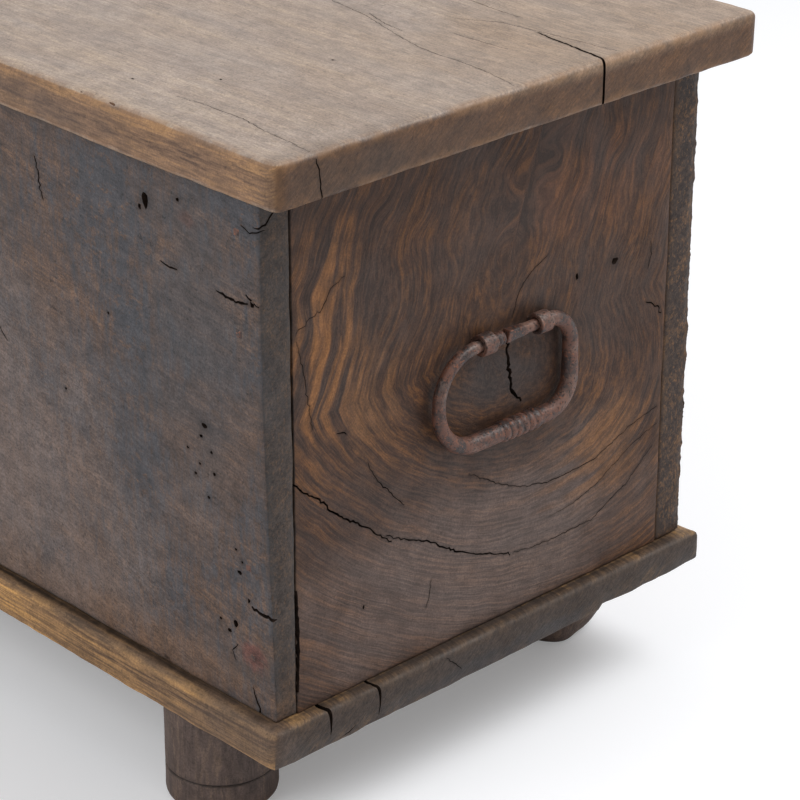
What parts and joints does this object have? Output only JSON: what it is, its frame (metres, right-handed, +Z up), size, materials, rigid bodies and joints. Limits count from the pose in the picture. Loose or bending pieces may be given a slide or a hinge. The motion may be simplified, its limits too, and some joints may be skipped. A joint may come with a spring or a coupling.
{
  "type": "six-plank chest",
  "caption": "Old boarded wooden chest of thick planks on round feet, with an overhanging hinged lid and a forged iron bail handle on each end.",
  "frame": {"origin": "on the floor under the middle of the chest", "axes": "+X along the length, towards the pictured end; +Y towards the back; +Z up"},
  "size_m": [1.166, 0.464, 0.534],
  "materials": {
    "dark_plank": "dark worn patina",
    "end_plank": "dark waxed figure",
    "lid_plank": "rubbed wax",
    "base_plank": "worn wax",
    "forged_iron": "rusted"
  },
  "bodies": {
    "chest": {"front_board": "dark_plank", "back_board": "dark_plank", "right_end_board": "end_plank", "left_end_board": "end_plank", "bottom_board": "base_plank", "foot_front_right": "base_plank", "foot_front_left": "base_plank", "foot_back_right": "base_plank", "foot_back_left": "base_plank", "front_right_nails": "forged_iron", "front_left_nails": "forged_iron", "back_right_nails": "forged_iron", "back_left_nails": "forged_iron", "bottom_nails": "forged_iron", "right_hinge_leaf_nails": "forged_iron", "left_hinge_leaf_nails": "forged_iron", "right_handle_front_staple": "forged_iron", "right_handle_back_staple": "forged_iron", "left_handle_front_staple": "forged_iron", "left_handle_back_staple": "forged_iron", "right_hinge_leaf": "forged_iron", "right_hinge_pin": "forged_iron", "left_hinge_leaf": "forged_iron", "left_hinge_pin": "forged_iron"},
    "lid": {"lid_board": "lid_plank", "right_hinge_strap": "forged_iron", "right_hinge_strap_nails": "forged_iron", "left_hinge_strap": "forged_iron", "left_hinge_strap_nails": "forged_iron"},
    "right_handle": {"right_handle_bail": "forged_iron"},
    "left_handle": {"left_handle_bail": "forged_iron"}
  },
  "joints": [
    {"name": "lid_hinge", "type": "hinge", "parent": "chest", "child": "lid", "pos_m": [0, 0.2165, 0.4945], "axis": [-1, 0, 0], "range_deg": [0, 120]},
    {"name": "right_handle_swing", "type": "hinge", "parent": "chest", "child": "right_handle", "pos_m": [0.5584, 0.0025, 0.342], "axis": [0, -1, 0], "range_deg": [0, 180]},
    {"name": "left_handle_swing", "type": "hinge", "parent": "chest", "child": "left_handle", "pos_m": [-0.5584, 0.0025, 0.342], "axis": [0, 1, 0], "range_deg": [0, 180]}
  ]
}
